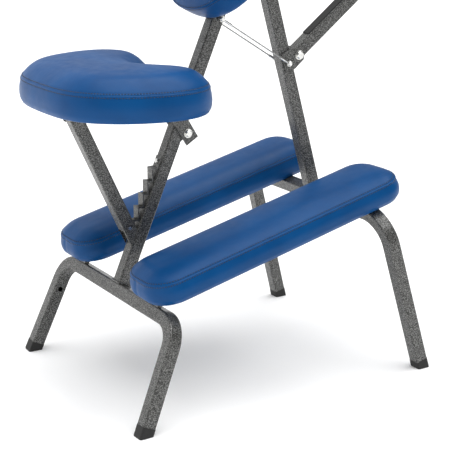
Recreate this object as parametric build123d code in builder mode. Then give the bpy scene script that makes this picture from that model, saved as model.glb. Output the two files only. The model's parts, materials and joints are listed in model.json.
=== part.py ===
from build123d import *
import math
import os

# Kneeling massage chair: a folding A-frame of square steel tube with a seat, two shin
# pads, a chest pad, an armrest and a face cradle. Millimetres, +Z up, +X towards the
# face cradle, +Y to the sitter's left. The origin is on the floor, below the middle.

os.makedirs("parts", exist_ok=True)

# ---- driving dimensions ----------------------------------------------------------------
REAR_FOOT_X = -365.85     # where the rear frame's centre plane meets the floor
BASE_LENGTH = 598.4       # rear foot line to front foot line
REAR_LEAN = 23.28         # degrees forward from vertical
FRONT_LEAN = 15.84        # degrees backward from vertical
TUBE = 25.0               # square frame tube, outside
WALL = 1.5
TUBE_CORNER = 3.0
REAR_FOOT_HALF = 232.2    # half spread of the rear feet
REAR_LEG_SPLAY = 0.0788   # half spread lost per millimetre of height along the frame
REAR_CROSSBAR_TOP = 208.0
REAR_BEND = 45.0
FRONT_FOOT_HALF = 243.1
FRONT_LEG_SPLAY = 0.051
FRONT_CROSSBAR_TOP = 330.0
FRONT_BEND = 60.0
TUBE_FOOT_GAP = 17.0      # the tube stops this far above the floor line, the cap fills it
CAP_SIDE = 26.0

REAR_POST_TOP = 1050.0    # along the rear frame
HINGE_N = 40.0            # frame hinge, in front of the rear post's axis
HINGE_U = 863.2           # frame hinge, along the rear frame
HINGE_ON_FRONT = 807.8    # the same hinge, along the front frame
FOLD_BOLT_R = 5.0

SEAT_BOLT = (18.0, 508.0)     # (n, u) on the rear frame
SEAT_BOTTOM_Z = 526.0
SEAT_CUSHION_T = 72.0
SEAT_BOARD_T = 10.0
STRUT_TOP = (-2.1, 510.0)     # (x from the rear foot, z)
STRUT_ANGLE = 24.7            # degrees from vertical
STRUT_FOOT_U = 274.0

SHIN_SLOPE = 13.9             # degrees
SHIN_START = (71.0, 211.0)    # a point of the boards' underside: (x from the rear foot, z)
SHIN_LENGTH = 548.0
SHIN_WIDTH = 140.0
SHIN_CENTRE_Y = 144.0
SHIN_CUSHION_T = 58.0
SHIN_BOARD_T = 12.0
SHIN_BEHIND = 22.0            # overhang behind the start point
SHIN_PIN = (-12.0, 218.0)     # (n, u) on the rear frame
SHIN_END_R = 52.0

CHEST_WIDTH = 260.0
CHEST_BOTTOM_U = 714.0
CHEST_TOP_U = 1046.0
CHEST_END_R = 163.0
CHEST_FRONT_N = -76.0
CHEST_BACK_N = -14.6

ARM_PIVOT = (27.0, 599.0)     # (n, u) on the front frame
ARM_ANGLE = 37.7              # degrees above horizontal
ARM_LENGTH = 322.0
ARMREST_WIDTH = 340.0
ARMREST_DEPTH = 166.0
ARMREST_T = 52.0

STEM = 21.2                   # square stem sliding in the rear post
STEM_OUT = 55.0               # length showing above the post
CRADLE_ANGLE = 50.0           # degrees forward from vertical

PLATE = 3.0
GAP = 0.3                     # running gap at the sides of a tube

# ---- frames ----------------------------------------------------------------------------
REAR_SIN = math.sin(math.radians(REAR_LEAN))
REAR_COS = math.cos(math.radians(REAR_LEAN))
FRONT_SIN = math.sin(math.radians(FRONT_LEAN))
FRONT_COS = math.cos(math.radians(FRONT_LEAN))
FRONT_FOOT_X = REAR_FOOT_X + BASE_LENGTH
HALF = TUBE / 2

# Local axes of each leaning frame: x is the chair's Y, y runs up the frame, z is forward.
rear_plane = Plane(origin=(REAR_FOOT_X, 0, 0), x_dir=(0, 1, 0), z_dir=(REAR_COS, 0, -REAR_SIN))
front_plane = Plane(origin=(FRONT_FOOT_X, 0, 0), x_dir=(0, 1, 0), z_dir=(FRONT_COS, 0, FRONT_SIN))


def rear_point(n, u, y=0.0):
    """World point at n forward of the rear frame's centre plane and u up along it."""
    return Vector(REAR_FOOT_X + u * REAR_SIN + n * REAR_COS, y, u * REAR_COS - n * REAR_SIN)


def front_point(n, u, y=0.0):
    """World point at n forward of the front frame's centre plane and u up along it."""
    return Vector(FRONT_FOOT_X - u * FRONT_SIN + n * FRONT_COS, y, u * FRONT_COS + n * FRONT_SIN)


def rear_side(y):
    """Side-view plane of the rear frame, x = n and y = u; it faces the right side (-Y)."""
    return Plane(origin=(REAR_FOOT_X, y, 0), x_dir=(REAR_COS, 0, -REAR_SIN), z_dir=(0, -1, 0))


def front_side(y):
    """Side-view plane of the front frame, x = n and y = u."""
    return Plane(origin=(FRONT_FOOT_X, y, 0), x_dir=(FRONT_COS, 0, FRONT_SIN), z_dir=(0, -1, 0))


def side_view(y, origin, degrees):
    """Side-view plane at y whose x axis rises by the given angle above +X."""
    angle = math.radians(degrees)
    return Plane(origin=(origin.X, y, origin.Z), x_dir=(math.cos(angle), 0, math.sin(angle)), z_dir=(0, -1, 0))


def save(piece, name):
    piece.label = name
    export_step(piece, f"parts/{name}.step")


def square_ring(outer=TUBE, wall=WALL, corner=TUBE_CORNER):
    """Section of a square tube, drawn in the current sketch."""
    RectangleRounded(outer, outer, corner)
    RectangleRounded(outer - 2 * wall, outer - 2 * wall, corner - wall, mode=Mode.SUBTRACT)


def plate_pair(plane_at, outline, inner_y, thickness):
    """Two flat plates with the same side outline, one each side of the centre plane."""
    with BuildPart() as pair:
        for start in (-inner_y, inner_y + thickness):
            with BuildSketch(plane_at(start)):
                add(outline)
            extrude(amount=thickness)
    return pair.part


def cross_bolt(centre, shank_r, half_grip, head_r, head_t, nut=True, washer_r=0.0, washer_t=1.2):
    """Hex bolt along Y through centre, head on the right side (-Y) and nut on the left."""
    x, z = centre.X, centre.Z
    outer = half_grip + (washer_t if washer_r else 0.0)
    with BuildPart() as bolt:
        with BuildSketch(Plane(origin=(x, outer + 2, z), x_dir=(1, 0, 0), z_dir=(0, -1, 0))):
            Circle(shank_r)
        extrude(amount=2 * outer + 2)
        with BuildSketch(Plane(origin=(x, -outer, z), x_dir=(1, 0, 0), z_dir=(0, -1, 0))):
            Circle(head_r)
        extrude(amount=head_t)
        chamfer(bolt.faces().sort_by(Axis.Y)[0].edges(), head_t * 0.3)
    pieces = [bolt.part]
    if nut:
        with BuildPart() as hex_nut:
            with BuildSketch(Plane(origin=(x, outer + head_t + 1, z), x_dir=(1, 0, 0), z_dir=(0, -1, 0))):
                RegularPolygon(head_r, 6)
                Circle(shank_r, mode=Mode.SUBTRACT)
            extrude(amount=head_t + 1)
        pieces.append(hex_nut.part)
    if washer_r:
        for start in (-half_grip, half_grip + washer_t):
            with BuildPart() as washer:
                with BuildSketch(Plane(origin=(x, start, z), x_dir=(1, 0, 0), z_dir=(0, -1, 0))):
                    Circle(washer_r)
                    Circle(shank_r, mode=Mode.SUBTRACT)
                extrude(amount=washer_t)
            pieces.append(washer.part)
    return Compound(children=pieces)


# ---- bent leg frames and feet -------------------------------------------------------------
def leg_frame(plane, foot_half, splay, crossbar_top, bend, hole_u):
    """U-bent square tube standing on two feet, with one cross hole in each leg."""
    corner_u = crossbar_top - HALF
    corner_y = foot_half - splay * corner_u
    end_y = foot_half - splay * TUBE_FOOT_GAP
    points = [(end_y, TUBE_FOOT_GAP), (corner_y, corner_u), (-corner_y, corner_u), (-end_y, TUBE_FOOT_GAP)]
    with BuildPart() as frame:
        with BuildLine(plane) as path:
            FilletPolyline(*points, radius=bend)
        start = path.line @ 0
        tangent = path.line % 0
        with BuildSketch(Plane(origin=start, x_dir=plane.z_dir, z_dir=tangent)):
            square_ring()
        sweep(path=path.line)
        hole_y = foot_half - splay * hole_u
        for side in (-1, 1):
            with BuildSketch(Plane(origin=plane.from_local_coords(Vector(side * (hole_y - 20), hole_u, 0)),
                                   x_dir=plane.z_dir, z_dir=(0, side, 0))):
                Circle(5)
            extrude(amount=20, mode=Mode.SUBTRACT)
    return frame.part


def foot_caps(plane, foot_half, splay):
    """Two domed rubber caps with a plug that fills the tube end, trimmed flat at the floor."""
    with BuildPart() as caps:
        for side in (-1, 1):
            foot = plane.from_local_coords(Vector(side * foot_half, 0, 0))
            top = plane.from_local_coords(Vector(side * (foot_half - splay * TUBE_FOOT_GAP), TUBE_FOOT_GAP, 0))
            axis = (top - foot).normalized()
            with BuildPart(mode=Mode.PRIVATE) as cap:
                with BuildSketch(Plane(origin=foot - axis * 9, x_dir=plane.z_dir, z_dir=axis)):
                    RectangleRounded(CAP_SIDE, CAP_SIDE, TUBE_CORNER + 0.5)
                extrude(amount=(top - foot).length + 9)
                fillet(cap.faces().sort_by(Axis.Z)[0].edges(), 7)
                with BuildSketch(Plane(origin=top, x_dir=plane.z_dir, z_dir=axis)):
                    RectangleRounded(TUBE - 2 * WALL - 0.2, TUBE - 2 * WALL - 0.2, 1.4)
                extrude(amount=16)
                split(bisect_by=Plane.XY, keep=Keep.TOP)
            add(cap.part)
    return caps.part


save(leg_frame(rear_plane, REAR_FOOT_HALF, REAR_LEG_SPLAY, REAR_CROSSBAR_TOP, REAR_BEND, 134), "rear_leg_frame")
save(leg_frame(front_plane, FRONT_FOOT_HALF, FRONT_LEG_SPLAY, FRONT_CROSSBAR_TOP, FRONT_BEND, 150), "front_leg_frame")
save(foot_caps(rear_plane, REAR_FOOT_HALF, REAR_LEG_SPLAY), "rear_foot_caps")
save(foot_caps(front_plane, FRONT_FOOT_HALF, FRONT_LEG_SPLAY), "front_foot_caps")


# ---- posts ---------------------------------------------------------------------------------
CABLE_A = (3.0, 722.0)      # (n, u) of the cable bolt on the rear post
CABLE_B = (0.0, 592.0)      # (n, u) of the cable bolt on the front post
CABLE_BOLT_R = 3.0
CHEST_KNOB = (2.5, 945.0)
STEM_KNOB_U = 1018.0

with BuildPart() as rear_post:
    with BuildSketch(Plane(origin=rear_point(0, REAR_CROSSBAR_TOP), x_dir=(0, 1, 0), z_dir=(REAR_SIN, 0, REAR_COS))):
        square_ring()
    extrude(amount=REAR_POST_TOP - REAR_CROSSBAR_TOP)
    with BuildSketch(rear_side(20)):
        with Locations(CABLE_A):
            Circle(CABLE_BOLT_R + 0.1)
    extrude(amount=40, mode=Mode.SUBTRACT)
    with BuildSketch(Plane(origin=rear_point(5, STEM_KNOB_U), x_dir=(0, 1, 0), z_dir=(REAR_COS, 0, -REAR_SIN))):
        Circle(4.1)
    extrude(amount=12, mode=Mode.SUBTRACT)
save(rear_post.part, "rear_post")

with BuildPart() as rear_post_plug:
    with BuildSketch(rear_side(HALF - 1)):
        with BuildLine():
            Polyline((HALF, 208.2), (HALF + 6, 204.5), (HALF + 6, 207), (HALF, 214), close=True)
        make_face()
    extrude(amount=TUBE - 2)
save(rear_post_plug.part, "rear_post_plug")

front_post_top = HINGE_ON_FRONT + HALF
with BuildPart() as front_post:
    with BuildSketch(Plane(origin=front_point(0, FRONT_CROSSBAR_TOP), x_dir=(0, 1, 0), z_dir=(-FRONT_SIN, 0, FRONT_COS))):
        square_ring()
    extrude(amount=front_post_top - FRONT_CROSSBAR_TOP)
    with BuildSketch(front_side(20)):
        with Locations((0, HINGE_ON_FRONT)):
            Circle(FOLD_BOLT_R + 0.05)
        with Locations(CABLE_B):
            Circle(CABLE_BOLT_R + 0.1)
    extrude(amount=40, mode=Mode.SUBTRACT)
save(front_post.part, "front_post")

# Rounded black end plug in the front post's top, above the hinge bolt.
with BuildPart() as front_post_plug:
    with BuildSketch(Plane(origin=front_point(0, front_post_top), x_dir=(0, 1, 0), z_dir=(-FRONT_SIN, 0, FRONT_COS))):
        RectangleRounded(TUBE - 0.4, TUBE - 0.4, TUBE_CORNER)
    extrude(amount=2.5)
    with BuildSketch(Plane(origin=front_point(0, front_post_top), x_dir=(0, 1, 0), z_dir=(-FRONT_SIN, 0, FRONT_COS))):
        RectangleRounded(TUBE - 2 * WALL - 0.2, TUBE - 2 * WALL - 0.2, 1.4)
    extrude(amount=-6)
save(front_post_plug.part, "front_post_plug")


# ---- frame hinge ---------------------------------------------------------------------------
with BuildSketch() as hinge_plate_outline:
    with BuildLine():
        Polyline((-4, HINGE_U - 24), (HALF, HINGE_U - 24), (HINGE_N + 2, HINGE_U - 12),
                 (HINGE_N + 12, HINGE_U), (HINGE_N + 2, HINGE_U + 12), (HALF, HINGE_U + 24),
                 (-4, HINGE_U + 24), close=True)
    make_face()
    with Locations((HINGE_N, HINGE_U)):
        Circle(FOLD_BOLT_R + 0.05, mode=Mode.SUBTRACT)
save(plate_pair(rear_side, hinge_plate_outline.sketch, HALF + GAP / 2, 4.0), "frame_hinge_plates")
hinge_centre = rear_point(HINGE_N, HINGE_U)
save(cross_bolt(hinge_centre, FOLD_BOLT_R, HALF + GAP / 2 + 4.0, 9.0, 6.0, washer_r=10.0), "frame_hinge_bolt")


# ---- seat rack on the rear post's back face ------------------------------------------------
RACK_BACK = -(HALF + 1.25)
TOOTH_TIP_N = -24.0
TOOTH_PITCH = 25.0
TOOTH_FACE = 22.0               # from a tip down to the shelf under it
rack_points = [(RACK_BACK, 452.0), (RACK_BACK, 431.0)]
for tooth in range(5):
    tip_u = 426.0 - TOOTH_PITCH * tooth
    rack_points.append((TOOTH_TIP_N, tip_u))
    rack_points.append((RACK_BACK - 0.6, tip_u - TOOTH_FACE))
rack_points[-1] = (RACK_BACK, 304.0)
with BuildPart() as seat_rack:
    with BuildSketch(rear_side(9)):
        with BuildLine():
            Polyline(*rack_points)
        trace(line_width=2.4)
    extrude(amount=18)
save(seat_rack.part, "seat_rack")

with BuildPart() as rack_screw:
    screw_base = rear_point(-(HALF + 2.45), 442.0)
    with BuildSketch(Plane(origin=screw_base, x_dir=(0, 1, 0), z_dir=(-REAR_COS, 0, REAR_SIN))):
        Circle(4.5)
    extrude(amount=3)
    fillet(rack_screw.faces().sort_by(Axis.X)[0].edges(), 1.2)
save(rack_screw.part, "rack_screw")


# ---- seat ----------------------------------------------------------------------------------
with BuildPart() as seat_pivot_lug:
    with BuildSketch(rear_side(HALF - 1)):
        with BuildLine():
            Polyline((HALF, 496), (SEAT_BOLT[0], 499), (26, 503), (26.6, 510), (20, 517), (HALF, 520), close=True)
        make_face()
        with Locations(SEAT_BOLT):
            Circle(4.05, mode=Mode.SUBTRACT)
    extrude(amount=TUBE - 2)
save(seat_pivot_lug.part, "seat_pivot_lug")

seat_bolt_centre = rear_point(*SEAT_BOLT)
SEAT_BRACKET_ANGLE = 121.4      # degrees above +X, leaning back up to the board
SEAT_BRACKET_W = 28.0
SEAT_PLATE_Y = HALF + GAP
SEAT_FLANGE_L = 120.0
SEAT_FLANGE_BACK = 32.0         # from the bolt to the flange, so the seat tilts without meeting the post
flange_x = seat_bolt_centre.X - SEAT_FLANGE_BACK - SEAT_FLANGE_L / 2
flange_screws_x = flange_x - 30.0
seat_bracket_length = (SEAT_BOTTOM_Z - PLATE - seat_bolt_centre.Z) / math.sin(math.radians(SEAT_BRACKET_ANGLE)) + 12.0
with BuildPart() as seat_bracket:
    for start in (-SEAT_PLATE_Y, SEAT_PLATE_Y + PLATE):
        with BuildSketch(side_view(start, seat_bolt_centre, SEAT_BRACKET_ANGLE)):
            with Locations((seat_bracket_length / 2 - 12.0, 0)):
                Rectangle(seat_bracket_length + 12.0, SEAT_BRACKET_W)
            Circle(4.05, mode=Mode.SUBTRACT)
        extrude(amount=PLATE)
    split(bisect_by=Plane.XY.offset(SEAT_BOTTOM_Z - PLATE), keep=Keep.BOTTOM)
    with BuildSketch(Plane(origin=(flange_x, 0, SEAT_BOTTOM_Z - PLATE))):
        RectangleRounded(SEAT_FLANGE_L, 70, 6)
        with Locations((flange_screws_x - flange_x, 0)):
            with GridLocations(40, 52, 2, 2):
                Circle(2.6, mode=Mode.SUBTRACT)
    extrude(amount=PLATE)
save(seat_bracket.part, "seat_bracket")
save(cross_bolt(seat_bolt_centre, 4.0, SEAT_PLATE_Y + PLATE, 6.5, 4.5, washer_r=8.5), "seat_pivot_bolt")

strut_top = Vector(REAR_FOOT_X + STRUT_TOP[0], 0, STRUT_TOP[1])
with BuildPart() as seat_rear_bracket:
    for start in (-SEAT_PLATE_Y, SEAT_PLATE_Y + PLATE):
        with BuildSketch(side_view(start, strut_top, 0)):
            with Locations((0, 3)):
                RectangleRounded(26, 26, 5)
            Circle(3.05, mode=Mode.SUBTRACT)
        extrude(amount=PLATE)
    split(bisect_by=Plane.XY.offset(SEAT_BOTTOM_Z - PLATE), keep=Keep.BOTTOM)
    with BuildSketch(Plane(origin=(strut_top.X, 0, SEAT_BOTTOM_Z - PLATE))):
        RectangleRounded(44, 64, 6)
        with GridLocations(28, 48, 2, 2):
            Circle(2.6, mode=Mode.SUBTRACT)
    extrude(amount=PLATE)
save(seat_rear_bracket.part, "seat_rear_bracket")
save(cross_bolt(strut_top, 3.0, SEAT_PLATE_Y + PLATE, 5.5, 4.0), "strut_pivot_bolt")

# Plan of the seat: round at the back, two lobes in front with a notch between them.
SEAT_PLAN = [(-67, 0), (-47.5, 119), (46, 188), (160, 178), (194, 127), (176, 60), (140, 10)]
SEAT_MIDDLE_X = 62.0


def seat_outline(inset=0.0):
    """The seat's plan, its points drawn towards the middle by the inset."""
    points = []
    for x, y in SEAT_PLAN:
        reach = math.hypot(x - SEAT_MIDDLE_X, y)
        points.append((x - (x - SEAT_MIDDLE_X) * inset / reach, y - y * inset / reach))
    with BuildSketch() as outline:
        with BuildLine():
            Spline(*points, tangents=((0, 1), (-0.6, -0.8)))
            mirror(about=Plane.XZ)
            notch_x, notch_y = points[-1]
            ThreePointArc((notch_x, notch_y), (notch_x - notch_y / 3, 0), (notch_x, -notch_y))
        make_face()
    return outline.sketch


seat_centre_plane = Plane(origin=(REAR_FOOT_X, 0, SEAT_BOTTOM_Z))
with BuildPart() as seat_board:
    with BuildSketch(seat_centre_plane):
        add(seat_outline(12))
    extrude(amount=SEAT_BOARD_T)
save(seat_board.part, "seat_board")

SEAT_BEVEL = 16.0
seat_shoulder_z = SEAT_CUSHION_T - SEAT_BEVEL
with BuildPart() as seat_cushion:
    with BuildSketch(seat_centre_plane):
        add(seat_outline())
    extrude(amount=seat_shoulder_z)
    with BuildSketch(seat_centre_plane.offset(seat_shoulder_z)):
        add(seat_outline())
    with BuildSketch(seat_centre_plane.offset(SEAT_CUSHION_T)):
        add(seat_outline(SEAT_BEVEL))
    loft()
    with BuildSketch(seat_centre_plane):
        add(seat_outline(11.8))
    extrude(amount=SEAT_BOARD_T, mode=Mode.SUBTRACT)
save(seat_cushion.part, "seat_cushion")

with BuildPart() as seat_screws:
    for centre_x, dx, dy in ((flange_screws_x, 40, 52), (strut_top.X, 28, 48)):
        with BuildSketch(Plane(origin=(centre_x, 0, SEAT_BOTTOM_Z - PLATE - 2.4))):
            with GridLocations(dx, dy, 2, 2):
                Circle(4.4)
        extrude(amount=2.4)
        with BuildSketch(Plane(origin=(centre_x, 0, SEAT_BOTTOM_Z - PLATE))):
            with GridLocations(dx, dy, 2, 2):
                Circle(2.4)
        extrude(amount=PLATE)
save(seat_screws.part, "seat_screws")


# ---- seat strut ----------------------------------------------------------------------------
strut_down = 270.0 - STRUT_ANGLE        # direction of the strut below its pin, above +X
STRUT_LENGTH = 300.0
PAWL_PIN = (-29.5, 311.0)       # just clear of the teeth, so the seat can tilt
with BuildPart() as seat_strut:
    strut_view = side_view(0, strut_top, strut_down + 2 * STRUT_ANGLE)
    with BuildSketch(Plane(origin=strut_top - strut_view.x_dir * 5, x_dir=(0, 1, 0), z_dir=strut_view.x_dir)):
        square_ring()
    extrude(amount=STRUT_LENGTH)
    # Trimmed along the rear post's back face, and square across at the foot.
    split(bisect_by=Plane(origin=rear_point(-HALF - 0.5, 300), z_dir=(REAR_COS, 0, -REAR_SIN)), keep=Keep.BOTTOM)
    split(bisect_by=Plane(origin=rear_point(0, STRUT_FOOT_U), z_dir=(REAR_SIN, 0, REAR_COS)), keep=Keep.TOP)
    # Slot that lets the rack's teeth into the tube.
    with BuildSketch(rear_side(10.2)):
        with Locations((-24, 290)):
            Rectangle(27, 120)
    extrude(amount=20.4, mode=Mode.SUBTRACT)
    with BuildSketch(side_view(20, strut_top, 0)):
        Circle(3.05)
    extrude(amount=40, mode=Mode.SUBTRACT)
    with BuildSketch(rear_side(20)):
        with Locations(PAWL_PIN):
            Circle(3.05)
    extrude(amount=40, mode=Mode.SUBTRACT)
save(seat_strut.part, "seat_strut")

with BuildPart() as strut_pawl_pin:
    with BuildSketch(rear_side(HALF + 1.5)):
        with Locations(PAWL_PIN):
            Circle(3.0)
    extrude(amount=TUBE + 3)
save(strut_pawl_pin.part, "strut_pawl_pin")


# ---- shin pads -----------------------------------------------------------------------------
slope_sin = math.sin(math.radians(SHIN_SLOPE))
slope_cos = math.cos(math.radians(SHIN_SLOPE))
shin_origin = Vector(REAR_FOOT_X + SHIN_START[0], 0, SHIN_START[1])
shin_pin = rear_point(*SHIN_PIN)
shin_pin_below = (shin_pin.Z - shin_origin.Z) * slope_cos - (shin_pin.X - shin_origin.X) * slope_sin
shin_pin_along = (shin_pin.X - shin_origin.X) * slope_cos + (shin_pin.Z - shin_origin.Z) * slope_sin


def shin_plane(y):
    """Plane of the boards' underside: x runs up the slope, y is the chair's Y."""
    return Plane(origin=(shin_origin.X, y, shin_origin.Z), x_dir=(slope_cos, 0, slope_sin),
                 z_dir=(-slope_sin, 0, slope_cos))


def shin_side(y):
    """Side view of a shin pad: x runs up the slope, y is away from the underside."""
    return Plane(origin=(shin_origin.X, y, shin_origin.Z), x_dir=(slope_cos, 0, slope_sin), z_dir=(0, -1, 0))


SHIN_MIDDLE = SHIN_LENGTH / 2 - SHIN_BEHIND
for name, side in (("left", 1), ("right", -1)):
    pad_plane = shin_plane(side * SHIN_CENTRE_Y)
    with BuildPart() as board:
        with BuildSketch(pad_plane):
            with Locations((SHIN_MIDDLE, 0)):
                RectangleRounded(SHIN_LENGTH - 24, SHIN_WIDTH - 24, SHIN_END_R - 12)
        extrude(amount=SHIN_BOARD_T)
    save(board.part, f"shin_board_{name}")
    with BuildPart() as cushion:
        with BuildSketch(pad_plane):
            with Locations((SHIN_MIDDLE, 0)):
                RectangleRounded(SHIN_LENGTH, SHIN_WIDTH, SHIN_END_R)
        extrude(amount=SHIN_CUSHION_T)
        fillet(cushion.faces().sort_by(Axis.Z)[-1].edges(), 16)
        with BuildSketch(pad_plane):
            with Locations((SHIN_MIDDLE, 0)):
                RectangleRounded(SHIN_LENGTH - 23.6, SHIN_WIDTH - 23.6, SHIN_END_R - 11.8)
        extrude(amount=SHIN_BOARD_T, mode=Mode.SUBTRACT)
    save(cushion.part, f"shin_cushion_{name}")
    # Hinge leaf under the board: a strap with two ears round the pin.
    with BuildPart() as leaf:
        with BuildSketch(pad_plane):
            with Locations((shin_pin_along + 28, 0)):
                Rectangle(66, 50)
        extrude(amount=-2.0)
        for start in (side * SHIN_CENTRE_Y - 19, side * SHIN_CENTRE_Y + 25):
            with BuildSketch(shin_side(start)):
                with Locations((shin_pin_along, shin_pin_below)):
                    Circle(5.0)
                with Locations((shin_pin_along, shin_pin_below / 2 - 1)):
                    Rectangle(10, -shin_pin_below - 2)
                with Locations((shin_pin_along, shin_pin_below)):
                    Circle(2.55, mode=Mode.SUBTRACT)
            extrude(amount=6)
    save(leaf.part, f"shin_hinge_leaf_{name}")

# Fixed knuckles welded on the rear crossbar, with the pins through them.
KNUCKLE_HALF = 18.5
with BuildPart() as shin_hinge_knuckles:
    for side in (-1, 1):
        with BuildSketch(rear_side(side * SHIN_CENTRE_Y + KNUCKLE_HALF)):
            with BuildLine():
                Polyline((-HALF, REAR_CROSSBAR_TOP), (-6, REAR_CROSSBAR_TOP), (-7, SHIN_PIN[1] + 1),
                         (-16.5, SHIN_PIN[1] - 2), (-14.5, REAR_CROSSBAR_TOP), close=True)
            make_face()
            with Locations(SHIN_PIN):
                Circle(4.8)
            with Locations(SHIN_PIN):
                Circle(2.55, mode=Mode.SUBTRACT)
        extrude(amount=2 * KNUCKLE_HALF)
save(shin_hinge_knuckles.part, "shin_hinge_knuckles")

with BuildPart() as shin_hinge_pins:
    for side in (-1, 1):
        with BuildSketch(rear_side(side * SHIN_CENTRE_Y + 27)):
            with Locations(SHIN_PIN):
                Circle(2.5)
        extrude(amount=54)
save(shin_hinge_pins.part, "shin_hinge_pins")

# Thin rubber rests on the front crossbar, under the boards.
with BuildPart() as shin_rests:
    for side in (-1, 1):
        with BuildSketch(Plane(origin=front_point(0, FRONT_CROSSBAR_TOP, side * 120), x_dir=(0, 1, 0),
                               z_dir=(-FRONT_SIN, 0, FRONT_COS))):
            RectangleRounded(60, 20, 3)
        extrude(amount=1.0)
save(shin_rests.part, "shin_rests")


# ---- spread-limiting cables ----------------------------------------------------------------
CABLE_R = 1.4
CABLE_Y = HALF + 7.0
cable_a = rear_point(*CABLE_A)
cable_b = front_point(*CABLE_B)
cable_line = (cable_b - cable_a).normalized()
EYE_R = 5.5
FERRULE_START = 8.0
FERRULE_LENGTH = 16.0
for name, side in (("left", 1), ("right", -1)):
    with BuildPart() as cable:
        start = Vector(cable_a.X, side * CABLE_Y, cable_a.Z) + cable_line * (FERRULE_START + FERRULE_LENGTH)
        with BuildSketch(Plane(origin=start, z_dir=cable_line)):
            Circle(CABLE_R)
        extrude(amount=(cable_b - cable_a).length - 2 * (FERRULE_START + FERRULE_LENGTH))
    save(cable.part, f"limit_cable_{name}")


def cable_eyes(anchor, direction):
    """Eyelets round a cable bolt with the crimped ferrules that hold the cables."""
    with BuildPart() as eyes:
        for side in (-1, 1):
            with BuildSketch(Plane(origin=(anchor.X, side * CABLE_Y + 1.4, anchor.Z), x_dir=(1, 0, 0), z_dir=(0, -1, 0))):
                Circle(EYE_R)
                Circle(CABLE_BOLT_R + 0.1, mode=Mode.SUBTRACT)
            extrude(amount=2.8)
            base = Vector(anchor.X, side * CABLE_Y, anchor.Z) + direction * (EYE_R - 0.6)
            with BuildSketch(Plane(origin=base, z_dir=direction)):
                Circle(2.4)
            extrude(amount=FERRULE_START + FERRULE_LENGTH - EYE_R + 0.6)
    return eyes.part


save(cable_eyes(cable_a, cable_line), "cable_eyes_rear")
save(cable_eyes(cable_b, -cable_line), "cable_eyes_front")
save(cross_bolt(cable_a, CABLE_BOLT_R, CABLE_Y + 1.4, 4.6, 3.5), "cable_bolt_rear")
save(cross_bolt(cable_b, CABLE_BOLT_R, CABLE_Y + 1.4, 4.6, 3.5), "cable_bolt_front")


# ---- arm and armrest -----------------------------------------------------------------------
arm_pivot = front_point(*ARM_PIVOT)


with BuildSketch() as arm_lug_outline:
    with BuildLine():
        Polyline((-9, ARM_PIVOT[1] - 22), (HALF, ARM_PIVOT[1] - 22), (ARM_PIVOT[0] + 8, ARM_PIVOT[1] - 12),
                 (ARM_PIVOT[0] + 14, ARM_PIVOT[1]), (ARM_PIVOT[0] + 8, ARM_PIVOT[1] + 12),
                 (HALF, ARM_PIVOT[1] + 18), (-9, ARM_PIVOT[1] + 14), close=True)
    make_face()
    with Locations(ARM_PIVOT):
        Circle(4.05, mode=Mode.SUBTRACT)
    with Locations(CABLE_B):
        Circle(CABLE_BOLT_R + 0.1, mode=Mode.SUBTRACT)
save(plate_pair(front_side, arm_lug_outline.sketch, HALF + GAP / 2, 4.0), "arm_lug_plates")
save(cross_bolt(arm_pivot, 4.0, HALF + GAP / 2 + 4.0, 7.5, 5.0, washer_r=9.0), "arm_pivot_bolt")


def arm_side(y):
    return side_view(y, arm_pivot, ARM_ANGLE)


arm_axis = arm_side(0).x_dir
arm_up = arm_side(0).y_dir
ARM_BACK = 6.0                 # tube behind the pivot
with BuildPart() as arm_tube:
    with BuildSketch(Plane(origin=arm_pivot - arm_axis * ARM_BACK, x_dir=(0, 1, 0), z_dir=arm_axis)):
        square_ring()
    extrude(amount=ARM_LENGTH + ARM_BACK + 10)
    with BuildSketch(arm_side(20)):
        Circle(4.05)
        with Locations((ARM_LENGTH, 0)):
            Circle(4.05)
    extrude(amount=40, mode=Mode.SUBTRACT)
save(arm_tube.part, "arm_tube")

with BuildPart() as arm_buffer_strip:
    with BuildSketch(arm_side(10)):
        with Locations((ARM_LENGTH / 2 + 12, HALF + 1.0)):
            Rectangle(ARM_LENGTH - 64, 2.0)
    extrude(amount=20)
save(arm_buffer_strip.part, "arm_buffer_strip")

arm_end = arm_pivot + arm_axis * ARM_LENGTH
ARMREST_BOARD_Z = arm_end.Z + 30.0
with BuildPart() as armrest_bracket:
    for start in (-SEAT_PLATE_Y, SEAT_PLATE_Y + PLATE):
        with BuildSketch(side_view(start, arm_end, 0)):
            with BuildLine():
                Polyline((-9, -7), (9, -7), (16, 12), (16, 27), (-16, 27), (-16, 12), close=True)
            make_face()
            Circle(4.05, mode=Mode.SUBTRACT)
        extrude(amount=PLATE)
    with BuildSketch(Plane(origin=(arm_end.X, 0, ARMREST_BOARD_Z - PLATE))):
        RectangleRounded(70, 120, 6)
    extrude(amount=PLATE)
save(armrest_bracket.part, "armrest_bracket")

with BuildPart() as armrest_board:
    with BuildSketch(Plane(origin=(arm_end.X, 0, ARMREST_BOARD_Z))):
        RectangleRounded(ARMREST_DEPTH - 20, ARMREST_WIDTH - 20, 38)
    extrude(amount=10)
save(armrest_board.part, "armrest_board")
with BuildPart() as armrest_cushion:
    with BuildSketch(Plane(origin=(arm_end.X, 0, ARMREST_BOARD_Z))):
        RectangleRounded(ARMREST_DEPTH, ARMREST_WIDTH, 48)
    extrude(amount=ARMREST_T)
    fillet(armrest_cushion.faces().sort_by(Axis.Z)[-1].edges(), 14)
    with BuildSketch(Plane(origin=(arm_end.X, 0, ARMREST_BOARD_Z))):
        RectangleRounded(ARMREST_DEPTH - 19.6, ARMREST_WIDTH - 19.6, 38.2)
    extrude(amount=10, mode=Mode.SUBTRACT)
save(armrest_cushion.part, "armrest_cushion")


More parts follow.
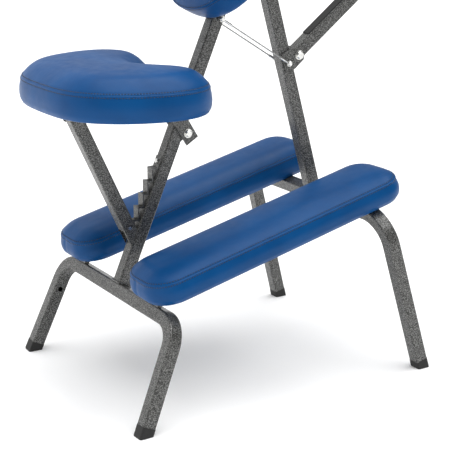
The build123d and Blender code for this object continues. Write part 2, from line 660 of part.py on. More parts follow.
def knob(base, direction, screw_r, screw_length, knob_r=17.0, knob_t=16.0):
    """Five-lobed clamping knob; its screw points against the given direction."""
    plane = Plane(origin=base, z_dir=direction)
    with BuildPart() as turned:
        with BuildSketch(plane):
            Circle(knob_r)
            with PolarLocations(knob_r + 3.5, 5):
                Circle(6.5, mode=Mode.SUBTRACT)
        extrude(amount=knob_t)
        with BuildSketch(plane):
            Circle(8.0)
        extrude(amount=-3.0)
        with BuildSketch(plane):
            Circle(screw_r)
        extrude(amount=-screw_length)
    return turned.part


with BuildPart() as armrest_pin:
    with BuildSketch(side_view(SEAT_PLATE_Y + PLATE + 4, arm_end, 0)):
        Circle(4.0)
    extrude(amount=2 * (SEAT_PLATE_Y + PLATE) + 4)
    with BuildSketch(side_view(SEAT_PLATE_Y + PLATE + 5, arm_end, 0)):
        Circle(7.5)
    extrude(amount=5)
save(armrest_pin.part, "armrest_pin")
knob_face = Vector(arm_end.X, -(SEAT_PLATE_Y + PLATE + 0.2), arm_end.Z)
with BuildPart() as armrest_knob:
    with BuildSketch(side_view(knob_face.Y - 3, arm_end, 0)):
        Circle(17)
        with PolarLocations(20.5, 5):
            Circle(6.5, mode=Mode.SUBTRACT)
    extrude(amount=15)
    with BuildSketch(side_view(knob_face.Y, arm_end, 0)):
        Circle(8)
    extrude(amount=3)
save(armrest_knob.part, "armrest_knob")


# ---- chest pad -----------------------------------------------------------------------------
def chest_outline(inset=0.0):
    """Round-ended pad outline in the rear frame's plane."""
    half = CHEST_WIDTH / 2 - inset
    radius = CHEST_END_R
    drop = radius - math.sqrt(radius ** 2 - half ** 2)
    bottom = CHEST_BOTTOM_U + inset
    top = CHEST_TOP_U - inset
    with BuildSketch() as outline:
        with BuildLine():
            ThreePointArc((-half, bottom + drop), (0, bottom), (half, bottom + drop))
            Line((half, bottom + drop), (half, top - drop))
            ThreePointArc((half, top - drop), (0, top), (-half, top - drop))
            Line((-half, top - drop), (-half, bottom + drop))
        make_face()
        fillet(outline.vertices(), 38 - inset * 0.5)
    return outline.sketch


CHEST_BOARD_T = 10.0
CHEST_BOARD_N = -HALF - GAP - PLATE      # the board rests on the bracket's web
with BuildPart() as chest_board:
    with BuildSketch(rear_plane.offset(CHEST_BOARD_N)):
        add(chest_outline(12))
    extrude(amount=-CHEST_BOARD_T)
save(chest_board.part, "chest_board")
with BuildPart() as chest_cushion:
    with BuildSketch(rear_plane.offset(CHEST_BACK_N)):
        add(chest_outline())
    extrude(amount=CHEST_FRONT_N - CHEST_BACK_N)
    fillet(chest_cushion.faces().sort_by(Axis(origin=(0, 0, 0), direction=(REAR_COS, 0, -REAR_SIN)))[0].edges(), 14)
    with BuildSketch(rear_plane.offset(CHEST_BACK_N)):
        add(chest_outline(11.8))
    extrude(amount=CHEST_BOARD_N - CHEST_BACK_N - CHEST_BOARD_T - 0.1, mode=Mode.SUBTRACT)
save(chest_cushion.part, "chest_cushion")

CHEST_BRACKET_U = (915.0, 975.0)
CHEST_BRACKET_W = 150.0
with BuildPart() as chest_bracket:
    bracket_mid = (CHEST_BRACKET_U[0] + CHEST_BRACKET_U[1]) / 2
    bracket_h = CHEST_BRACKET_U[1] - CHEST_BRACKET_U[0]
    with BuildSketch(rear_plane.offset(-HALF - GAP)):
        with Locations((0, bracket_mid)):
            RectangleRounded(CHEST_BRACKET_W, bracket_h, 6)
    extrude(amount=-PLATE)
    for start in (-SEAT_PLATE_Y, SEAT_PLATE_Y + PLATE):
        with BuildSketch(rear_side(start)):
            with Locations((-0.9, bracket_mid)):
                Rectangle(2 * HALF - 1.0, bracket_h)
            with Locations(CHEST_KNOB):
                Circle(3.6, mode=Mode.SUBTRACT)
        extrude(amount=PLATE)
save(chest_bracket.part, "chest_bracket")
chest_knob_centre = rear_point(*CHEST_KNOB)
with BuildPart() as chest_knob:
    for start, radius, length in ((-SEAT_PLATE_Y - PLATE - 0.2, 8.0, 4.0), (-SEAT_PLATE_Y + 0.1, 3.5, 6.0)):
        with BuildSketch(Plane(origin=(chest_knob_centre.X, start, chest_knob_centre.Z), x_dir=(1, 0, 0),
                               z_dir=(0, -1, 0))):
            Circle(radius)
        extrude(amount=length)
    with BuildSketch(Plane(origin=(chest_knob_centre.X, -SEAT_PLATE_Y - PLATE - 4.0, chest_knob_centre.Z),
                           x_dir=(1, 0, 0), z_dir=(0, -1, 0))):
        Circle(14.5)
        with PolarLocations(18, 5):
            Circle(6.5, mode=Mode.SUBTRACT)
    extrude(amount=15)
save(chest_knob.part, "chest_knob")


# ---- face cradle ---------------------------------------------------------------------------
STEM_IN = 110.0
stem_top_u = REAR_POST_TOP + STEM_OUT
with BuildPart() as cradle_stem:
    with BuildSketch(Plane(origin=rear_point(0, REAR_POST_TOP - STEM_IN), x_dir=(0, 1, 0), z_dir=(REAR_SIN, 0, REAR_COS))):
        square_ring(STEM, 1.5, 2.0)
    extrude(amount=STEM_IN + STEM_OUT)
save(cradle_stem.part, "cradle_stem")

save(knob(rear_point(HALF + 3.2, STEM_KNOB_U), Vector(REAR_COS, 0, -REAR_SIN), 4.0, 4.6), "stem_knob")

TILT_U = stem_top_u + 16.0
tilt_centre = rear_point(0, TILT_U)


with BuildSketch() as stem_ear_outline:
    with BuildLine():
        Polyline((-10.4, stem_top_u - 34), (10.4, stem_top_u - 34), (10.4, TILT_U - 4), (6, TILT_U + 9),
                 (-6, TILT_U + 9), (-10.4, TILT_U - 4), close=True)
    make_face()
    with Locations((0, TILT_U)):
        Circle(4.05, mode=Mode.SUBTRACT)
save(plate_pair(rear_side, stem_ear_outline.sketch, STEM / 2, PLATE), "cradle_hinge_ears")


def cradle_side(y):
    return side_view(y, tilt_centre, 90.0 - CRADLE_ANGLE)


cradle_along = cradle_side(0).x_dir
cradle_out = cradle_side(0).y_dir      # towards the sitter's face
TONGUE = 20.0
BOARD_OUT = 16.0
with BuildPart() as cradle_tongue:
    with BuildSketch(cradle_side(10.3)):
        Circle(9.5)
        with Locations((20, 0)):
            Rectangle(40, 16)
        with Locations((47, BOARD_OUT - 4)):
            Rectangle(46, 8)
        with BuildLine():
            Polyline((24, -8), (44, 8), (44, 16), (24, 12), close=True)
        make_face()
        Circle(4.05, mode=Mode.SUBTRACT)
    extrude(amount=20.6)
save(cradle_tongue.part, "cradle_tongue")
save(cross_bolt(tilt_centre, 4.0, STEM / 2 + PLATE, 7.0, 4.5), "cradle_tilt_bolt")

cradle_face = Plane(origin=tilt_centre + cradle_out * BOARD_OUT, x_dir=(0, 1, 0), z_dir=cradle_out)
face_up = 1.0 if cradle_face.y_dir.Z > 0 else -1.0
RING_CENTRE = 150.0
with BuildPart() as cradle_board:
    with BuildSketch(cradle_face):
        with Locations((0, face_up * RING_CENTRE)):
            Ellipse(112, 122)
        with Locations((0, face_up * (RING_CENTRE - 6))):
            Ellipse(56, 72, mode=Mode.SUBTRACT)
    extrude(amount=6)
save(cradle_board.part, "cradle_board")
with BuildPart() as cradle_cushion:
    with BuildSketch(cradle_face.offset(6.0)):
        with Locations((0, face_up * RING_CENTRE)):
            Ellipse(128, 138)
        with Locations((0, face_up * (RING_CENTRE - 8))):
            Ellipse(52, 70, mode=Mode.SUBTRACT)
        with Locations((0, face_up * (RING_CENTRE - 100))):
            Rectangle(56, 110, mode=Mode.SUBTRACT)
    extrude(amount=54)
    fillet(cradle_cushion.faces().sort_by(Axis(origin=(0, 0, 0), direction=tuple(cradle_out)))[-1].edges(), 8)
save(cradle_cushion.part, "cradle_cushion")

with BuildPart() as cradle_lever:
    lever_y = -(STEM / 2 + PLATE + 4.5 + 0.3)
    with BuildSketch(Plane(origin=(tilt_centre.X, lever_y, tilt_centre.Z), x_dir=(REAR_COS, 0, -REAR_SIN), z_dir=(0, -1, 0))):
        Circle(8)
        with Locations((0, -30)):
            RectangleRounded(11, 60, 5)
    extrude(amount=7)
save(cradle_lever.part, "cradle_lever")
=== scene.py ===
"""Looks of the kneeling massage chair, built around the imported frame.

Metres, +Z up, +X the way the sitter faces. Outlines and cushion profiles are in millimetres.
"""
import json
import math
import random

import bpy
import numpy as np
from mathutils import Matrix, Vector
from mathutils.geometry import delaunay_2d_cdt


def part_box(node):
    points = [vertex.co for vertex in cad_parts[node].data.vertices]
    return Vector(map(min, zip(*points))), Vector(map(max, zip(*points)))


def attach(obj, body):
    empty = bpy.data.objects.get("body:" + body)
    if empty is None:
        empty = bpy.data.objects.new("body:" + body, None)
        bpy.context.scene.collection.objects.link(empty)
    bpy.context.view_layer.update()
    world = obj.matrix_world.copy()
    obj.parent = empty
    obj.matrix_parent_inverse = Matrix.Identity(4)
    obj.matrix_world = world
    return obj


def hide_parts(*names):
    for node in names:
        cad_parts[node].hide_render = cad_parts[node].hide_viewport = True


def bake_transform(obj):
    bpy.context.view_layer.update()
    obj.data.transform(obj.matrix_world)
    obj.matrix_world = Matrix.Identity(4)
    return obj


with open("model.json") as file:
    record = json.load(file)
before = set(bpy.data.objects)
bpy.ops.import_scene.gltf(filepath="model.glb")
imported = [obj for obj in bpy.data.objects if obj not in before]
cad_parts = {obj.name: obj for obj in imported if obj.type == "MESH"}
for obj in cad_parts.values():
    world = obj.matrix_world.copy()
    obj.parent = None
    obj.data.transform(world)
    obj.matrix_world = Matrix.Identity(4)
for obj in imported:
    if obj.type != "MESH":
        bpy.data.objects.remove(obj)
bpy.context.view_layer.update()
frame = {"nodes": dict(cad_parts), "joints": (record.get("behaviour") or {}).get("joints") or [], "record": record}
random.seed(7)

MM = 0.001
NODES = frame["nodes"]
JOINTS = {joint["name"]: joint for joint in frame["joints"]}
MOUNTS = {mount["name"]: mount for mount in frame["record"]["mounts"]}

# ---- driving dimensions, the same as the frame's ------------------------------------------
REAR_FOOT_X = MOUNTS["rear_foot_left"]["pos_m"][0]
FRONT_FOOT_X = MOUNTS["front_foot_left"]["pos_m"][0]
REAR_LEAN = math.radians(23.28)
FRONT_LEAN = math.radians(15.84)
SHIN_SLOPE = math.radians(13.9)
CRADLE_LEAN = math.radians(50.0)
TUBE = 25 * MM
SIDES = (("left", 1), ("right", -1))


# ---- camera, light and floor --------------------------------------------------------------
CAMERA_OFFSET = (-0.8965, -1.9415, 0.9334)        # from the floor between the rear feet
CAMERA_DIP = 16.24                                # degrees below the horizon
CAMERA_TURN = -31.78                              # degrees from +Y
BRIGHT_SIDE = (-0.55, 0.80, 0.24)                 # where the studio's white wall stands
WORLD_STOPS = [(0.0, 0.03), (0.35, 0.10), (0.65, 0.46), (1.0, 1.10)]
BACKDROP_TONE = 0.96
OVERHEAD_AIM = (-0.20, 0.16, -1.0)
FLOOR_HALF = 14.0


def grey(tone):
    return (tone, tone, tone)


def set_stops(ramp, stops):
    """Gives a colour ramp its (position, colour) stops."""
    while len(ramp.elements) < len(stops):
        ramp.elements.new(0.5)
    for element, (position, colour) in zip(ramp.elements, stops):
        element.position = position
        element.color = (*colour, 1)


def make_camera():
    """Long lens from behind the chair's right side, a little above seat height."""
    data = bpy.data.cameras.new("camera")
    data.lens = 99.6
    data.sensor_width = 36.0
    data.clip_end = 100.0
    camera = bpy.data.objects.new("camera", data)
    camera.location = (REAR_FOOT_X + CAMERA_OFFSET[0], *CAMERA_OFFSET[1:])
    camera.rotation_euler = (math.radians(90 - CAMERA_DIP), 0, math.radians(CAMERA_TURN))
    bpy.context.scene.collection.objects.link(camera)
    bpy.context.scene.camera = camera


def make_world():
    """Bright towards the white wall, dim on the other side, and a pale backdrop all round."""
    world = bpy.data.worlds.new("studio")
    bpy.context.scene.world = world
    world.use_nodes = True
    nodes, links = world.node_tree.nodes, world.node_tree.links
    place = nodes.new("ShaderNodeTexCoord")
    facing = nodes.new("ShaderNodeVectorMath")
    facing.operation = "DOT_PRODUCT"
    facing.inputs[1].default_value = BRIGHT_SIDE
    spread = nodes.new("ShaderNodeMapRange")
    spread.inputs["From Min"].default_value = -1.0
    ramp = nodes.new("ShaderNodeValToRGB")
    ramp.color_ramp.interpolation = "EASE"
    set_stops(ramp.color_ramp, [(position, grey(tone)) for position, tone in WORLD_STOPS])
    links.new(place.outputs["Generated"], facing.inputs[0])
    links.new(facing.outputs["Value"], spread.inputs["Value"])
    links.new(spread.outputs["Result"], ramp.inputs[0])
    backdrop = nodes.new("ShaderNodeMixRGB")
    backdrop.inputs["Color2"].default_value = (*grey(BACKDROP_TONE), 1)
    seen = nodes.new("ShaderNodeLightPath")
    links.new(seen.outputs["Is Camera Ray"], backdrop.inputs["Fac"])
    links.new(ramp.outputs[0], backdrop.inputs["Color1"])
    links.new(backdrop.outputs[0], nodes["Background"].inputs["Color"])
    nodes["Background"].inputs["Strength"].default_value = 1.0


def make_studio():
    """White studio: the world's light, a soft light from above and a pale floor."""
    make_world()
    data = bpy.data.lights.new("overhead", "SUN")
    data.energy = 3.5
    data.angle = math.radians(72)
    light = bpy.data.objects.new("overhead", data)
    light.rotation_euler = Vector(OVERHEAD_AIM).to_track_quat("-Z", "Y").to_euler()
    bpy.context.scene.collection.objects.link(light)

    half = FLOOR_HALF
    corners = [(-half, -half, 0), (half, -half, 0), (half, half, 0), (-half, half, 0)]
    mesh = bpy.data.meshes.new("floor")
    mesh.from_pydata(corners, [], [(0, 1, 2, 3)])
    floor = bpy.data.objects.new("floor", mesh)
    bpy.context.scene.collection.objects.link(floor)
    floor.data.materials.append(plain_floor())
    settings = bpy.context.scene.view_settings
    settings.view_transform = "Standard"
    settings.look = "None"


# ---- materials ----------------------------------------------------------------------------
class Surface:
    """A Principled material with a few helpers for procedural detail in object space."""

    def __init__(self, name, **inputs):
        self.material = bpy.data.materials.new(name)
        self.material.use_nodes = True
        self.nodes = self.material.node_tree.nodes
        self.links = self.material.node_tree.links
        self.shader = self.nodes["Principled BSDF"]
        self.place = self.nodes.new("ShaderNodeTexCoord")
        for socket, value in inputs.items():
            self.shader.inputs[socket.replace("_", " ")].default_value = value

    def noise(self, scale, detail=2.0, rough=0.5):
        node = self.nodes.new("ShaderNodeTexNoise")
        node.inputs["Scale"].default_value = scale
        node.inputs["Detail"].default_value = detail
        node.inputs["Roughness"].default_value = rough
        self.links.new(self.place.outputs["Object"], node.inputs["Vector"])
        return node.outputs["Fac"]

    def cells(self, scale):
        node = self.nodes.new("ShaderNodeTexVoronoi")
        node.inputs["Scale"].default_value = scale
        self.links.new(self.place.outputs["Object"], node.inputs["Vector"])
        return node.outputs["Distance"]

    def span(self, value, low, high):
        """Maps the middle range of a noise value to low..high."""
        node = self.nodes.new("ShaderNodeMapRange")
        numbers = {"From Min": 0.3, "From Max": 0.7, "To Min": low, "To Max": high}
        for socket, number in numbers.items():
            node.inputs[socket].default_value = number
        self.links.new(value, node.inputs["Value"])
        return node.outputs["Result"]

    def drive(self, socket, value):
        self.links.new(value, self.shader.inputs[socket])

    def paint(self, value, *stops):
        """Base colour from a value, through (position, colour) stops."""
        node = self.nodes.new("ShaderNodeValToRGB")
        set_stops(node.color_ramp, stops)
        self.links.new(value, node.inputs[0])
        self.drive("Base Color", node.outputs[0])

    def bump(self, *layers):
        """Bump from (value, strength, distance) layers, each on top of the last."""
        normal = None
        for value, strength, distance in layers:
            node = self.nodes.new("ShaderNodeBump")
            node.inputs["Strength"].default_value = strength
            node.inputs["Distance"].default_value = distance
            self.links.new(value, node.inputs["Height"])
            if normal:
                self.links.new(normal, node.inputs["Normal"])
            normal = node.outputs["Normal"]
        self.links.new(normal, self.shader.inputs["Normal"])


def plain_floor():
    surface = Surface("studio_floor", Roughness=0.85, Specular_IOR_Level=0.1,
                      Emission_Strength=0.10)
    surface.shader.inputs["Emission Color"].default_value = (1, 1, 1, 1)
    surface.paint(surface.noise(3.0, 3.0), (0.3, grey(0.92)), (0.7, grey(0.94)))
    return surface.material


def hammertone():
    """Grey powder coat with a hammered, silver-veined speckle."""
    surface = Surface("hammertone_grey", Metallic=0.30, Coat_Weight=0.30, Coat_Roughness=0.20)
    speckle = surface.noise(580, 2.0, 0.60)
    veins = surface.cells(400)
    surface.paint(speckle, (0.39, (0.012, 0.012, 0.011)), (0.50, (0.052, 0.052, 0.049)),
                  (0.60, (0.22, 0.22, 0.212)))
    surface.drive("Roughness", surface.span(surface.noise(90, 2.0), 0.34, 0.50))
    surface.bump((veins, 0.30, 0.0004), (speckle, 0.30, 0.0003))
    return surface.material


def blue_vinyl():
    """Smooth blue leatherette: a fine pebble grain, faint clouding, a soft uneven gloss."""
    surface = Surface("blue_vinyl", Specular_IOR_Level=0.17, Coat_Weight=0.03,
                      Coat_Roughness=0.30)
    surface.paint(surface.noise(14, 3.0), (0.30, (0.0004, 0.056, 0.195)),
                  (0.70, (0.0008, 0.072, 0.240)))
    surface.drive("Roughness", surface.span(surface.noise(60, 3.0), 0.36, 0.46))
    surface.bump((surface.cells(950), 0.10, 0.0002), (surface.noise(1900, 2.0), 0.06, 0.0001))
    return surface.material


def thread():
    """Twisted polyester thread, much darker than the vinyl."""
    surface = Surface("stitch_thread", Roughness=0.62, Sheen_Weight=0.2)
    twist = surface.noise(4200, 1.0)
    surface.paint(twist, (0.3, (0.0010, 0.010, 0.034)), (0.7, (0.0025, 0.024, 0.078)))
    surface.bump((twist, 0.5, 0.0002))
    return surface.material


def zinc():
    surface = Surface("bright_zinc", Metallic=1.0, Anisotropic=0.2)
    flow = surface.noise(240, 4.0, 0.6)
    surface.paint(flow, (0.3, (0.62, 0.62, 0.60)), (0.7, (0.84, 0.84, 0.82)))
    surface.drive("Roughness", surface.span(surface.noise(700, 2.0), 0.18, 0.36))
    surface.bump((flow, 0.08, 0.0003))
    return surface.material


def rack_steel():
    """Formed steel strip with a dulled, uneven plating."""
    surface = Surface("rack_steel", Metallic=0.9)
    flow = surface.noise(300, 4.0, 0.6)
    surface.paint(flow, (0.35, (0.05, 0.05, 0.048)), (0.65, (0.17, 0.17, 0.165)))
    surface.drive("Roughness", surface.span(surface.noise(500, 2.0), 0.28, 0.48))
    surface.bump((flow, 0.15, 0.0004))
    return surface.material


def wire_rope():
    surface = Surface("wire_rope", Metallic=1.0)
    flow = surface.noise(900, 2.0)
    surface.paint(flow, (0.3, (0.36, 0.36, 0.35)), (0.7, (0.70, 0.70, 0.68)))
    surface.drive("Roughness", surface.span(flow, 0.25, 0.42))
    return surface.material


def black_rubber():
    surface = Surface("black_rubber", Specular_IOR_Level=0.4)
    dust = surface.noise(45, 4.0, 0.6)
    surface.paint(dust, (0.35, grey(0.010)), (0.75, (0.030, 0.029, 0.028)))
    surface.drive("Roughness", surface.span(dust, 0.50, 0.68))
    surface.bump((surface.noise(1400, 2.0), 0.15, 0.0002))
    return surface.material


def black_plastic():
    surface = Surface("black_plastic", Specular_IOR_Level=0.5)
    grain = surface.cells(1500)
    tone = surface.noise(30, 3.0)
    surface.paint(tone, (0.3, (0.012, 0.012, 0.013)), (0.7, (0.020, 0.020, 0.021)))
    surface.drive("Roughness", surface.span(tone, 0.38, 0.50))
    surface.bump((grain, 0.20, 0.0002))
    return surface.material


def backing_cloth():
    """Black non-woven dust cloth over the pad boards."""
    surface = Surface("backing_cloth", Sheen_Weight=0.25, Sheen_Roughness=0.6)
    fibres = surface.noise(700, 5.0, 0.75)
    dots = surface.cells(420)
    surface.paint(fibres, (0.3, (0.010, 0.010, 0.011)), (0.7, (0.034, 0.034, 0.036)))
    surface.drive("Roughness", surface.span(fibres, 0.82, 0.95))
    surface.bump((dots, 0.30, 0.0004), (fibres, 0.35, 0.0003))
    return surface.material


SLOT_LOOKS = {"powder_coat": hammertone(), "zinc_steel": zinc(), "rack_steel": rack_steel(),
              "black_rubber": black_rubber(), "black_plastic": black_plastic(),
              "pad_board": backing_cloth(), "blue_vinyl": blue_vinyl()}
THREAD = thread()


def paint_nodes():
    """Each CAD node takes the finish of its slot."""
    for part in frame["record"]["subparts"]:
        slots = NODES[part["node"]].data.materials
        slots.clear()
        slots.append(SLOT_LOOKS[part["material_slot"]])


# ---- mesh helpers -------------------------------------------------------------------------
def new_piece(name, mesh, material, body):
    piece = bpy.data.objects.new(name, mesh)
    bpy.context.scene.collection.objects.link(piece)
    mesh.materials.append(material)
    for polygon in mesh.polygons:
        polygon.use_smooth = True
    if body:
        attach(piece, body)
    return piece


def mesh_of(name, points, faces):
    mesh = bpy.data.meshes.new(name)
    mesh.from_pydata([tuple(point) for point in points], [], faces)
    mesh.update()
    return mesh


def rear_point(n, u, y=0.0):
    """n forward of the rear frame's centre plane, u up along it, in metres."""
    return Vector((REAR_FOOT_X + u * math.sin(REAR_LEAN) + n * math.cos(REAR_LEAN), y,
                   u * math.cos(REAR_LEAN) - n * math.sin(REAR_LEAN)))


def front_point(n, u, y=0.0):
    """n forward of the front frame's centre plane, u up along it, in metres."""
    return Vector((FRONT_FOOT_X - u * math.sin(FRONT_LEAN) + n * math.cos(FRONT_LEAN), y,
                   u * math.cos(FRONT_LEAN) + n * math.sin(FRONT_LEAN)))


def local_frame(origin, along, up):
    """Matrix whose columns are along, across (+Y), up and the origin."""
    across = (0, 1, 0)
    rows = [(along[axis], across[axis], up[axis], origin[axis]) for axis in range(3)]
    return Matrix((*rows, (0, 0, 0, 1)))


def closed_lengths(ring):
    """The ring with its first point again at the end, and the length up to each point."""
    closed = np.vstack([ring, ring[:1]])
    return closed, np.r_[0, np.cumsum(np.linalg.norm(np.diff(closed, axis=0), axis=1))]


def at_length(mark, lengths, values):
    return [np.interp(mark, lengths, values[:, axis]) for axis in range(3)]


# ---- outlines, in millimetres -------------------------------------------------------------
def spaced(points, step):
    """The closed polyline resampled at even steps."""
    points, lengths = closed_lengths(np.array(points, float))
    count = max(8, int(round(lengths[-1] / step)))
    marks = np.linspace(0, lengths[-1], count, endpoint=False)
    return np.stack([np.interp(marks, lengths, points[:, axis])
                     for axis in range(points.shape[1])], axis=1)


def arc(centre, radius, start, end, count=24):
    angles = np.radians(np.linspace(start, end, count))
    return [(centre[0] + radius * math.cos(a), centre[1] + radius * math.sin(a))
            for a in angles]


def rounded_rectangle(middle_x, length, width, radius):
    """Counter-clockwise rounded rectangle about a point on the x axis."""
    a, b = length / 2 - radius, width / 2 - radius
    points = arc((a, -b), radius, -90, 0) + arc((a, b), radius, 0, 90)
    points += arc((-a, b), radius, 90, 180) + arc((-a, -b), radius, 180, 270)
    return spaced(points, 1.0) + np.array([middle_x, 0])


def smooth_closed(points, count=600):
    """Periodic cubic curve through the points."""
    knots = np.array(points, float)
    steps = np.linalg.norm(np.roll(knots, -1, axis=0) - knots, axis=1)
    size = len(knots)
    matrix = np.zeros((size, size))
    right = np.zeros((size, 2))
    for i in range(size):
        j = (i + 1) % size
        before, after = steps[i - 1], steps[i]
        matrix[i, i - 1] += after
        matrix[i, i] += 2 * (before + after)
        matrix[i, j] += before
        right[i] = 3 * (before * (knots[j] - knots[i]) / after
                        + after * (knots[i] - knots[i - 1]) / before)
    slopes = np.linalg.solve(matrix, right)
    curve = []
    for i in range(size):
        j = (i + 1) % size
        for t in np.linspace(0, 1, count // size, endpoint=False):
            curve.append((2 * t ** 3 - 3 * t ** 2 + 1) * knots[i]
                         + (t ** 3 - 2 * t ** 2 + t) * steps[i] * slopes[i]
                         + (3 * t ** 2 - 2 * t ** 3) * knots[j]
                         + (t ** 3 - t ** 2) * steps[i] * slopes[j])
    return np.array(curve)


# left half of the seat from the back's middle round to the notch; x from the rear feet
SEAT_PLAN = [(-67, 0), (-47.5, 119), (46, 188), (160, 178), (194, 127), (176, 60), (137, 0)]


def seat_plan():
    """Round at the back, two lobes in front with a notch between them."""
    back, *lobe, notch = SEAT_PLAN
    mirrored = [(x, -y) for x, y in lobe]
    return smooth_closed([back, *mirrored, notch, *reversed(lobe)])


def chest_plan():
    """Straight sides, large round ends and soft corners; x runs up the pad."""
    half, bottom, top, radius, softening = 130.0, 714.0, 1046.0, 163.0, 456
    reach = math.degrees(math.asin(half / radius))
    upper = arc((top - radius, 0), radius, -reach, reach, 60)
    lower = arc((bottom + radius, 0), radius, 180 - reach, 180 + reach, 60)
    plan = spaced([*upper, *lower], 1.0)
    for _ in range(softening):
        plan = 0.5 * plan + 0.25 * (np.roll(plan, 1, axis=0) + np.roll(plan, -1, axis=0))
    return plan


def horseshoe_plan():
    """Face cushion: a band along an oval, open towards the chest, with blunt round ends."""
    centre, reach, half_width, half_band, end_bulge, gap = 146.0, 103.0, 90.5, 36.0, 22.0, 0.56
    sweep = np.linspace(-math.pi + gap, math.pi - gap, 160)
    line = np.stack([centre + reach * np.cos(sweep), half_width * np.sin(sweep)], axis=1)
    tangent = np.stack([-reach * np.sin(sweep), half_width * np.cos(sweep)], axis=1)
    tangent /= np.linalg.norm(tangent, axis=1)[:, None]
    normal = np.stack([tangent[:, 1], -tangent[:, 0]], axis=1)
    turn = np.linspace(0, math.pi, 40)[1:-1, None]
    across, beyond = half_band * np.cos(turn), end_bulge * np.sin(turn)
    last = line[-1] + normal[-1] * across + tangent[-1] * beyond
    first = line[0] - normal[0] * across - tangent[0] * beyond
    outer, inner = line + normal * half_band, line - normal * half_band
    return np.vstack([outer, last, inner[::-1], first])


# ---- flat meshing -------------------------------------------------------------------------
def outward(ring):
    """Unit normals pointing out of a counter-clockwise ring."""
    tangent = np.roll(ring, -1, axis=0) - np.roll(ring, 1, axis=0)
    tangent /= np.linalg.norm(tangent, axis=1)[:, None]
    return np.stack([tangent[:, 1], -tangent[:, 0]], axis=1)


def distance_to(points, ring, batch=400):
    """Distance of each point to the closed ring, worked out in batches to save memory."""
    edge = np.roll(ring, -1, axis=0) - ring
    best = np.empty(len(points))
    for start in range(0, len(points), batch):
        relative = points[start:start + batch, None, :] - ring[None]
        t = np.clip((relative * edge[None]).sum(2) / (edge ** 2).sum(1)[None], 0, 1)
        nearest = relative - t[..., None] * edge[None]
        best[start:start + batch] = np.sqrt((nearest ** 2).sum(2)).min(1)
    return best


def inside(points, ring):
    """Even-odd test of points against the ring."""
    x, y = points[:, 0], points[:, 1]
    hit = np.zeros(len(points), bool)
    for (x0, y0), (x1, y1) in zip(ring, np.roll(ring, -1, axis=0)):
        crosses = (y0 > y) != (y1 > y)
        with np.errstate(divide="ignore", invalid="ignore"):
            hit ^= crosses & (x < (x1 - x0) * (y - y0) / (y1 - y0) + x0)
    return hit


def fill_ring(ring, pitch):
    """Even lattice inside a ring, and triangles over both: ring points come first."""
    low, high = ring.min(0), ring.max(0)
    rows = []
    for row, y in enumerate(np.arange(low[1], high[1], pitch * 0.866)):
        xs = np.arange(low[0], high[0], pitch) + (pitch / 2 if row % 2 else 0)
        rows.append(np.stack([xs, np.full(len(xs), y)], axis=1))
    lattice = np.vstack(rows)
    lattice = lattice[inside(lattice, ring)]
    lattice = lattice[distance_to(lattice, ring) > pitch * 0.6]
    count = len(ring)
    points = [Vector(p) for p in np.vstack([ring, lattice])]
    edges = [(i, (i + 1) % count) for i in range(count)]
    found, _, faces, *_ = delaunay_2d_cdt(points, edges, [], 1, 1e-6)
    assert len(found) == len(points)
    return lattice, [tuple(face) for face in faces]


# ---- cushions, in millimetres -------------------------------------------------------------
HEM = ((22, 0.4), (22, -0.7), (15, -1.1), (10, -1.7))      # (inset, height) under the board
UNDER_EDGE = ((5.0, -1.5), (2.4, 0.4), (0.9, 3.6))         # round the board's lower edge
WALL_INSET = 0.6
WALL_LEVELS = 7
WALL_TO_SEAM = 7.0
TOP_EDGE = ((2.5, 0.0), (3.6, 0.7), (4.8, 0.0), (7.5, 0.0), (11.0, 0.0), (15.0, 0.0))
HELD_RINGS = 6               # rings of the hem that stay on the board
CROWN_START = 1.2            # inset at which the crown begins to rise
TOP_PITCH, UNDER_PITCH = 6.0, 16.0
SWELL_CAP = 4.0              # the most the air pressure may move the cover
CLOTH_FRAMES = 20
EVENING_ROUNDS = 10
PUCKER_HEIGHT, PUCKER_REACH = 0.9, 9.0
WALL_JOIN = ((-1, 0.35), (0, 1.3), (1, 0.35))              # (points aside, depth)
STITCH_PITCH = 5.0
STITCH_SHARE = 0.36          # half a stitch's length as a share of the pitch
STITCH_GAP = 3.7             # from the seam down to the row of stitches under it
STITCH_RADIUS = 0.9
STAPLE_SPACING, STAPLE_INSET, STAPLE_HALF = 38.0, 17.0, 5
STAPLE_HEIGHT, STAPLE_RADIUS, STAPLE_TILT = -0.75, 0.35, 0.35


